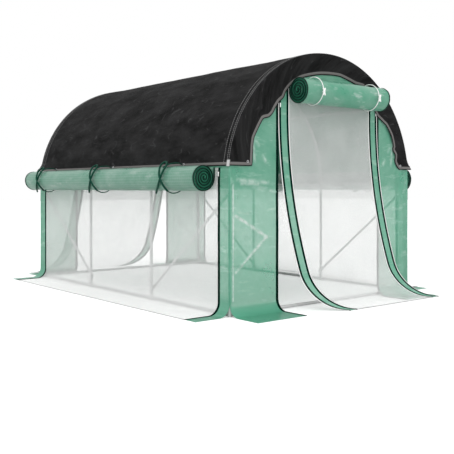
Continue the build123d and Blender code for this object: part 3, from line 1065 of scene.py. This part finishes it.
def roll_grid(line, stations, centre, seed, pinches):
    """Roll points as (outwards, along, up): a little uneven, and drawn in under its ties."""
    pinch, pinch_reach = 0.045, 0.035
    share = run_length(line) / run_length(line)[-1]
    wound = np.clip(share * 6 - 0.4, 0, 1)
    columns = []
    for place in stations:
        swell = 0.018 * ripple(np.array([place]), np.array([0.0]), seed, 0.6)[0]
        swell -= sum(pinch * math.exp(-(((place - tie) / pinch_reach) ** 2)) for tie in pinches)
        shaped = np.array(centre) + (line - np.array(centre)) * (1 + swell * wound[:, None])
        rumple = 0.0012 * ripple(shaped[:, 0] * 2, shaped[:, 1] * 2 + 0.7 * place, seed + 3, 0.16) * wound
        slip = 0 * wound
        if place in (stations[0], stations[-1]):
            slip = wound * (0.016 * share * np.sign(place - stations[1]) + 0.003 * np.sin(share * 17 + seed))
        columns.append(np.stack([shaped[:, 0] + rumple, place + slip, shaped[:, 1] + rumple], axis=1))
    return np.stack(columns, axis=1)


def roll_of(name, across):
    """A rolled sheet's inner face, radius, middle height and outline, from its CAD node."""
    low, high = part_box(name)
    inner = min(abs(low[across]), abs(high[across])) + HALF_FILM
    radius = sizes().roll_fullness * ((high[across] - low[across]) / 2 - HALF_FILM)
    centre_z = low[2] + radius + HALF_FILM
    return inner, radius, centre_z, roll_line(inner, centre_z, radius, high[2] - centre_z - HALF_FILM)


def wall_tie_places():
    """The wall ties' places along the tunnel: three, evenly spaced."""
    low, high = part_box("wall_roll_ties")
    half_tie = 0.0025
    return np.linspace(low[1] + half_tie, high[1] - half_tie, 3) - sizes().tie_slip


def door_tie_places(end):
    """A door roll's two ties, as places along X."""
    low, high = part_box(f"{END_NAMES[end]}_door_roll")
    slip = end * sizes().door_slip
    return low[0] + sizes().door_tie + slip, high[0] - sizes().door_tie + slip


class TUNNEL_OT_rolls(bpy.types.Operator):
    """Roll the side walls and the doors up to their heads, with dark bindings on their ends"""

    bl_idname = "tunnel.rolls"
    bl_label = "Rolled film"
    wall_end, door_end = 0.012, 0.004  # from a solid's end to the film's
    binding_inset, layer_inset = 0.004, 0.012
    wound = slice(9, -14)  # rows between the tail and the core, where layers show on an end

    def execute(self, context):
        s = sizes()
        for side in (LEFT, RIGHT):
            name = f"{SIDE_NAMES[side]}_wall_roll"
            inner, radius, centre_z, line = roll_of(name, 0)
            low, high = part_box(name)
            slip = s.roll_slip if side == RIGHT else 0
            stations = np.linspace(low[1] + self.wall_end, high[1] - self.wall_end, 84) - slip
            grid = roll_grid(line, stations, (inner + radius, centre_z), 61 + side, wall_tie_places())
            grid[:, :, 0] *= side
            rests = [f"{SIDE_NAMES[side]}_side_netting", "wall_roll_ties"]
            self.roll(name, grid, "wall_roll", rests, (high[1] - low[1], ROLLED_WALL_LENGTH), side < 0)
        for end in (FRONT, BACK):
            name = f"{END_NAMES[end]}_door_roll"
            inner, radius, centre_z, line = roll_of(name, 1)
            low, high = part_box(name)
            stations = np.linspace(low[0] + self.door_end, high[0] - self.door_end, 52) + end * s.door_slip
            grid = roll_grid(line, stations, (inner + radius, centre_z), 71 + end, door_tie_places(end))
            grid = np.stack([grid[:, :, 1], end * grid[:, :, 0], grid[:, :, 2]], axis=2)
            rests = [f"{END_NAMES[end]}_gable_film", "door_roll_ties"]
            self.roll(name, grid, "door_roll", rests, (high[0] - low[0], ROLLED_DOOR_LENGTH), end > 0)
        return {"FINISHED"}

    def roll(self, name, grid, finish, rests_on, flat, flip):
        """One rolled sheet, bound along its ends, with darker layers between its turns."""
        film = name + "_film"
        cloth(film, grid, finish, sizes().film, [name], flip=flip)
        ends, layers = [], []
        for column in (0, -1):
            path, facing = edge_path(grid, column, self.binding_inset), grid_normals(grid)[:, column]
            ends.append(band("edge", path, facing, ROLL_BINDING, "binding"))
            path, facing = edge_path(grid, column, self.layer_inset)[self.wound], facing[self.wound]
            path = path + unit(grid[-1, column] - path) * sizes().roll_pitch / 2
            layers.append(band("layer", path, facing, ROLL_LAYER, "layers"))
        join(name + "_binding", ends)
        join(name + "_layers", layers)


# A wall tie's routes round its roll: (angle up from the outer face, along the tunnel, off the roll)
KNOT_ROUTE = (
    (-78, 0.180, 0.014), (-55, 0.115, 0.008), (-33, 0.060, 0.006), (-12, 0.022, 0.006), (5, 0.0, 0.007),
    (30, -0.014, 0.008), (50, -0.017, 0.010), (72, 0.020, 0.014), (92, 0.085, 0.026), (74, 0.092, 0.014),
    (50, 0.062, 0.010), (33, 0.038, 0.010), (18, 0.018, 0.014), (3, 0.0, 0.019), (-18, -0.010, 0.011),
    (-40, -0.013, 0.008), (-64, -0.004, 0.009),
)
OVER_ROUTE = (
    (46, 0.012, 0.010), (75, -0.006, 0.009), (95, -0.018, 0.012), (116, -0.014, 0.024), (134, 0.0, 0.036),
)
UNDER_ROUTE = (
    (-48, -0.008, 0.009), (-74, -0.004, 0.013), (-95, -0.010, 0.017), (-120, -0.030, 0.014),
    (-146, -0.020, 0.005),
)


class TUNNEL_OT_ties(bpy.types.Operator):
    """Tie the rolls: green cords on the walls, white elastic with toggles on the doors"""

    bl_idname = "tunnel.ties"
    bl_label = "Roll ties"
    routes = ((KNOT_ROUTE, 0.0078), (OVER_ROUTE, 0.0042), (UNDER_ROUTE, 0.0042))  # with the cord's radius
    elastic_radius, elastic_off = 0.0032, 0.003
    toggle_off, toggle_drop = 0.007, 0.014  # from a door roll's outer face and its middle

    def execute(self, context):
        cords = []
        for side in (LEFT, RIGHT):
            inner, radius, centre_z, _ = roll_of(f"{SIDE_NAMES[side]}_wall_roll", 0)
            for y in wall_tie_places():
                for route, thick in self.routes:
                    points = []
                    for degrees, along, lift in route:
                        out, rise = self.spot(degrees, radius + lift)
                        points.append((side * (inner + radius + out), y + along, centre_z + rise))
                    cords.append(cord_tube("tie", points, thick, "cord"))
        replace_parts(join("wall_roll_cords", cords), "wall_roll_ties")
        elastics = []
        for end in (FRONT, BACK):
            inner, radius, centre_z, _ = roll_of(f"{END_NAMES[end]}_door_roll", 1)
            for x in door_tie_places(end):
                loop = [self.spot(degrees, radius + self.elastic_off) for degrees in range(-140, 145, 12)]
                points = [(x, end * (inner + radius + out), centre_z + rise) for out, rise in loop]
                elastics.append(cord_tube("elastic", points, self.elastic_radius, "white"))
                face = end * (inner + 2 * radius + self.toggle_off)
                elastics += self.toggle(np.array((x, face, centre_z - self.toggle_drop)), end)
        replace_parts(join("door_roll_elastics", elastics), "door_roll_ties")
        return {"FINISHED"}

    def spot(self, degrees, radius):
        """A place round a roll's middle, as (outwards, up)."""
        turn = math.radians(degrees)
        return radius * math.cos(turn), radius * math.sin(turn)

    def toggle(self, place, end):
        """Two short bars that cross on the face of a roll, with a collar round their middle."""
        steps = [(-0.026, 0.002), (-0.013, 0.005), (0.0, 0.003), (0.013, 0.005), (0.026, 0.002)]
        lean, bar_radius = 0.42, 0.0056
        collar_reach, collar_radius = 0.009, 0.0035
        parts = []
        for way in (-1, 1):
            points = [place + np.array((way * lean * up, end * out, up)) for up, out in steps]
            parts.append(cord_tube("bar", points, bar_radius, "white"))
        turns = np.linspace(0, 6.0, 9)
        collar = [place + collar_reach * np.array((math.cos(a), end * math.sin(a), 0)) for a in turns]
        return parts + [cord_tube("collar", collar, collar_radius, "white")]


# The front valance's hem: (degrees round the arch, radius), kinked where the cloth is caught up
VALANCE_HEM = (
    (6.4, 0.857), (10.2, 0.852), (13.6, 0.872), (15.4, 0.866), (17.5, 0.845), (18.9, 0.867), (22.4, 0.873),
    (26.1, 0.877), (30, 0.87), (33.6, 0.864), (36.4, 0.846), (41.8, 0.822), (46.9, 0.836), (54, 0.871),
    (62, 0.903), (68, 0.872), (75, 0.867), (81, 0.869), (88, 0.86), (94, 0.857), (103, 0.856),
    (112, 0.861), (121, 0.852), (127, 0.835), (130, 0.815), (134, 0.82), (139, 0.813), (142, 0.805),
    (145, 0.812), (148, 0.853), (155, 0.856), (160, 0.86), (164, 0.849), (167, 0.838), (173.6, 0.823),
)


class TUNNEL_OT_shade(bpy.types.Operator):
    """Drape the shade net over the roof, with its bound, stitched and eyeleted edges"""

    bl_idname = "tunnel.shade"
    bl_label = "Shade net"
    off_roof, sag = 0.0022, 0.0035
    crumple_height, deepest = 0.0016, -0.0008
    taut_from, taut_share = 1.42, 0.4  # near the ends the shade is stretched and crumples less
    hem_start = 6.4  # degrees round the arch, where a valance's hem meets a side hem
    fold, fold_off, hem_wave = 0.010, 0.0035, 0.010
    stitch_rows = (1.436, 1.464, 1.482)  # from the tunnel's middle, over the end hoops
    stitch_pitch, stitch_off = 0.015, 0.0014
    eyelet_off, eyelet_rise = 0.003, 0.004
    valance_rows = 20  # at least as many rows as a valance has

    def execute(self, context):
        s = sizes()
        self.shares = np.linspace(0, 1, 160)
        self.top = s.cover + self.off_roof
        edge = s.end + HALF_FILM
        middle_rows = []
        for y in np.linspace(-edge, edge, 170):
            slack = self.sag * bay_share(np.array([y]))[0]
            crumple = self.crumple_height * ripple(self.shares * 3.0, 0.3 * np.array([y]), 91, 0.22)
            crumple += self.crumple_height * ripple(self.shares * 3.0, 0.8 * np.array([y]), 92, 0.5)
            hold = 1 if abs(y) < self.taut_from else self.taut_share
            middle_rows.append(self.ring(self.top - slack + np.maximum(hold * crumple, self.deepest), y))
        front, back = (self.valance(end, edge) for end in (FRONT, BACK))
        grid = np.stack(front + middle_rows + back[::-1], axis=0)
        solids = ["shade_net", "front_shade_valance", "back_shade_valance"]
        cloth(
            "shade_cloth", grid, "shade", s.shade, solids,
            flip=True,
        )
        out = -grid_normals(grid)
        loop = np.concatenate([grid[0, :-1], grid[:-1, -1], grid[-1, :0:-1], grid[:0:-1, 0]])
        facing = np.concatenate([out[0, :-1], out[:-1, -1], out[-1, :0:-1], out[:0:-1, 0]])
        band("shade_binding_edge", loop, facing, SHADE_BINDING_EDGE, "black_edge", closed=True)
        band("shade_binding", loop, facing, SHADE_BINDING, "hem", closed=True)
        self.stitches(grid, out)
        self.eyelets(grid, out)
        return {"FINISHED"}

    def ring(self, radius, y):
        """One row across the shade at a radius and a place along the tunnel; two corners stand off, loose."""
        s = sizes()
        near_hem = np.clip(1 - np.minimum(self.shares, 1 - self.shares) / 0.03, 0, 1)
        loose = np.clip((np.where(self.shares < 0.5, -y, y) - 0.8) / 0.6, 0.02, 1)
        radius = np.broadcast_to(radius, self.shares.shape) + s.shade_flare * loose * near_hem**2
        edge = np.arcsin((s.shade_edge - s.spring) / radius)
        turns = edge + (math.pi - 2 * edge) * self.shares
        along = np.broadcast_to(y, self.shares.shape)
        return np.stack([radius * np.cos(turns), along, s.spring + radius * np.sin(turns)], axis=1)

    def valance(self, end, edge):
        """Rows from a valance's hem up to the fold round its end hoop; the back one is turned round."""
        fold, foot = self.fold, edge + self.fold_off
        degrees = self.hem_start + (180 - 2 * self.hem_start) * self.shares
        hem = np.interp(degrees if end == FRONT else 180 - degrees, *zip(*VALANCE_HEM))
        rows = []
        for k in np.linspace(1.0, 0.0, 12):
            radius = self.top - fold - (self.top - fold - hem) * k
            wave = 0.5 + 0.5 * np.sin(degrees / 9.0 + 1.3 * end)
            free = self.free_of_roll(end, self.ring(radius, 0.0))
            out = foot + 0.6 * fold * (1 - k) + self.hem_wave * k * wave * free
            rows.append(self.ring(radius, end * out))
        for turn in np.radians([20, 45, 70]):
            radius = self.top - fold * (1 - math.sin(turn))
            rows.append(self.ring(radius, end * (foot + 0.6 * fold * math.cos(turn))))
        return rows

    def free_of_roll(self, end, row):
        """0 beside the rolled door, where the edge lies flat behind it, and 1 well away."""
        low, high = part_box(f"{END_NAMES[end]}_door_roll")
        x, z = row[:, 0], row[:, 2]
        beyond = np.maximum(np.maximum(low[0] - x, x - high[0]), low[2] - z)
        return np.clip(beyond / 0.08, 0, 1)

    def stitches(self, grid, out):
        """Three rows of stitches over each end hoop."""
        ridge = grid[:, grid.shape[1] // 2]
        spots = []
        for y in self.stitch_rows:
            for end in (FRONT, BACK):
                row = int(np.argmin(np.abs(ridge[:, 1] - end * y) + 10 * (ridge[:, 2] < self.top)))
                spots += stitch_spots(grid[row] + out[row] * self.stitch_off, out[row], self.stitch_pitch)
        repeated("shade_stitches", spots, stitch_shape, "stitch", "shade", Length=0.0095, Width=0.0029)

    def eyelets(self, grid, out):
        """Eyelets in the side hems above the wall ties, and in the valances' corners."""
        spots = []
        skip = self.valance_rows
        for column in (0, -1):
            for y in wall_tie_places():
                row = int(np.argmin(np.abs(grid[skip:-skip, column, 1] - y))) + skip
                place = grid[row, column] + out[row, column] * self.eyelet_off + UP * self.eyelet_rise
                spots.append((place, out[row, column], UP))
        for row in (2, -3):
            for column in (1, -2):
                spots.append((grid[row, column] + out[row, column] * self.eyelet_off, out[row, column], UP))
        repeated("shade_eyelets", spots, eyelet_shape, "zinc", "clip", Radius=0.008, Rim=0.0024)


class TUNNEL_OT_stage(bpy.types.Operator):
    """Set the white floor, the soft light and the camera"""

    bl_idname = "tunnel.stage"
    bl_label = "Stage"

    def execute(self, context):
        scene = context.scene
        scene.view_settings.view_transform = "Standard"
        scene.cycles.transparent_max_bounces = 32
        self.light(scene)
        self.floor()
        lens = bpy.data.cameras.new("photo_camera")
        lens.sensor_width = 36.0
        lens.lens = 57.7
        lens.shift_y = -0.0874
        lens.clip_end = 100.0
        camera = link_piece("photo_camera", lens)
        camera.location = (-4.232, -5.408, 0.905)
        camera.rotation_euler = (math.radians(90), 0, math.radians(-39.384))
        scene.camera = camera
        return {"FINISHED"}

    def light(self, scene):
        """An even white surround, and one soft lamp from above and behind the camera."""
        world = bpy.data.worlds.new("soft_studio")
        world.use_nodes = True
        tree = world.node_tree
        tree.nodes.clear()
        output = tree.nodes.new("ShaderNodeOutputWorld")
        path = node(tree, "ShaderNodeLightPath").outputs
        seen = math_node(tree, "MAXIMUM", path["Is Camera Ray"], path["Is Transmission Ray"])
        seen = math_node(tree, "MAXIMUM", seen, path["Is Glossy Ray"])
        light = node(tree, "ShaderNodeBackground", {"Color": (1, 1, 1, 1), "Strength": 1.05}).outputs[0]
        white = node(tree, "ShaderNodeBackground", {"Color": (1, 1, 1, 1), "Strength": 1.0}).outputs[0]
        tree.links.new(mix_shader(tree, seen, light, white), output.inputs["Surface"])
        scene.world = world
        lamp = bpy.data.lights.new("soft_lamp", "SUN")
        lamp.energy = 0.85
        lamp.angle = math.radians(50)
        holder = link_piece("soft_lamp", lamp)
        holder.rotation_euler = Vector((0.5, 0.62, -0.8)).to_track_quat("-Z", "Y").to_euler()

    def floor(self):
        """A wide white floor that keeps the tunnel's shadow."""
        half, z = 40.0, -0.0006
        corners = [(-half, -half, z), (half, -half, z), (half, half, z), (-half, half, z)]
        floor = mesh_piece("floor", corners, [(0, 1, 2, 3)])
        material, tree, output = new_material("white_floor")
        seen = node(tree, "ShaderNodeLightPath").outputs["Is Camera Ray"]
        lift = math_node(tree, "MULTIPLY", seen, 0.38)
        glow = node(tree, "ShaderNodeEmission", {"Strength": lift}).outputs[0]
        paint = node(tree, "ShaderNodeBsdfDiffuse", {"Color": (0.8, 0.8, 0.8, 1)}).outputs[0]
        body = node(tree, "ShaderNodeAddShader", {0: paint, 1: glow}).outputs[0]
        tree.links.new(body, output.inputs["Surface"])
        floor.data.materials.append(material)


OPERATORS = (
    TUNNEL_OT_stage,
    TUNNEL_OT_tubes,
    TUNNEL_OT_roof_film,
    TUNNEL_OT_corner_strips,
    TUNNEL_OT_side_nets,
    TUNNEL_OT_end_film,
    TUNNEL_OT_door_nets,
    TUNNEL_OT_rolls,
    TUNNEL_OT_ties,
    TUNNEL_OT_shade,
)


class TUNNEL_PT_panel(bpy.types.Panel):
    """Lists the sizes, the colours and the steps that dress the tunnel"""

    bl_idname = "TUNNEL_PT_panel"
    bl_label = "Polytunnel greenhouse"
    bl_space_type = "VIEW_3D"
    bl_region_type = "UI"
    bl_category = "Tunnel"

    def draw(self, context):
        for group in (sizes(), colours()):
            box = self.layout.box()
            for name in type(group).__annotations__:
                box.prop(group, name)
        for operator in OPERATORS:
            self.layout.operator(operator.bl_idname)


CLASSES = (TunnelSizes, TunnelColours, *OPERATORS, TUNNEL_PT_panel)


def register():
    for made in CLASSES:
        bpy.utils.register_class(made)
    bpy.types.Scene.tunnel_sizes = PointerProperty(type=TunnelSizes)
    bpy.types.Scene.tunnel_colours = PointerProperty(type=TunnelColours)


def unregister():
    del bpy.types.Scene.tunnel_colours
    del bpy.types.Scene.tunnel_sizes
    for made in reversed(CLASSES):
        bpy.utils.unregister_class(made)


def main():
    register()
    for operator in OPERATORS:
        group, name = operator.bl_idname.split(".")
        getattr(getattr(bpy.ops, group), name)()


if __name__ == "__main__":
    main()
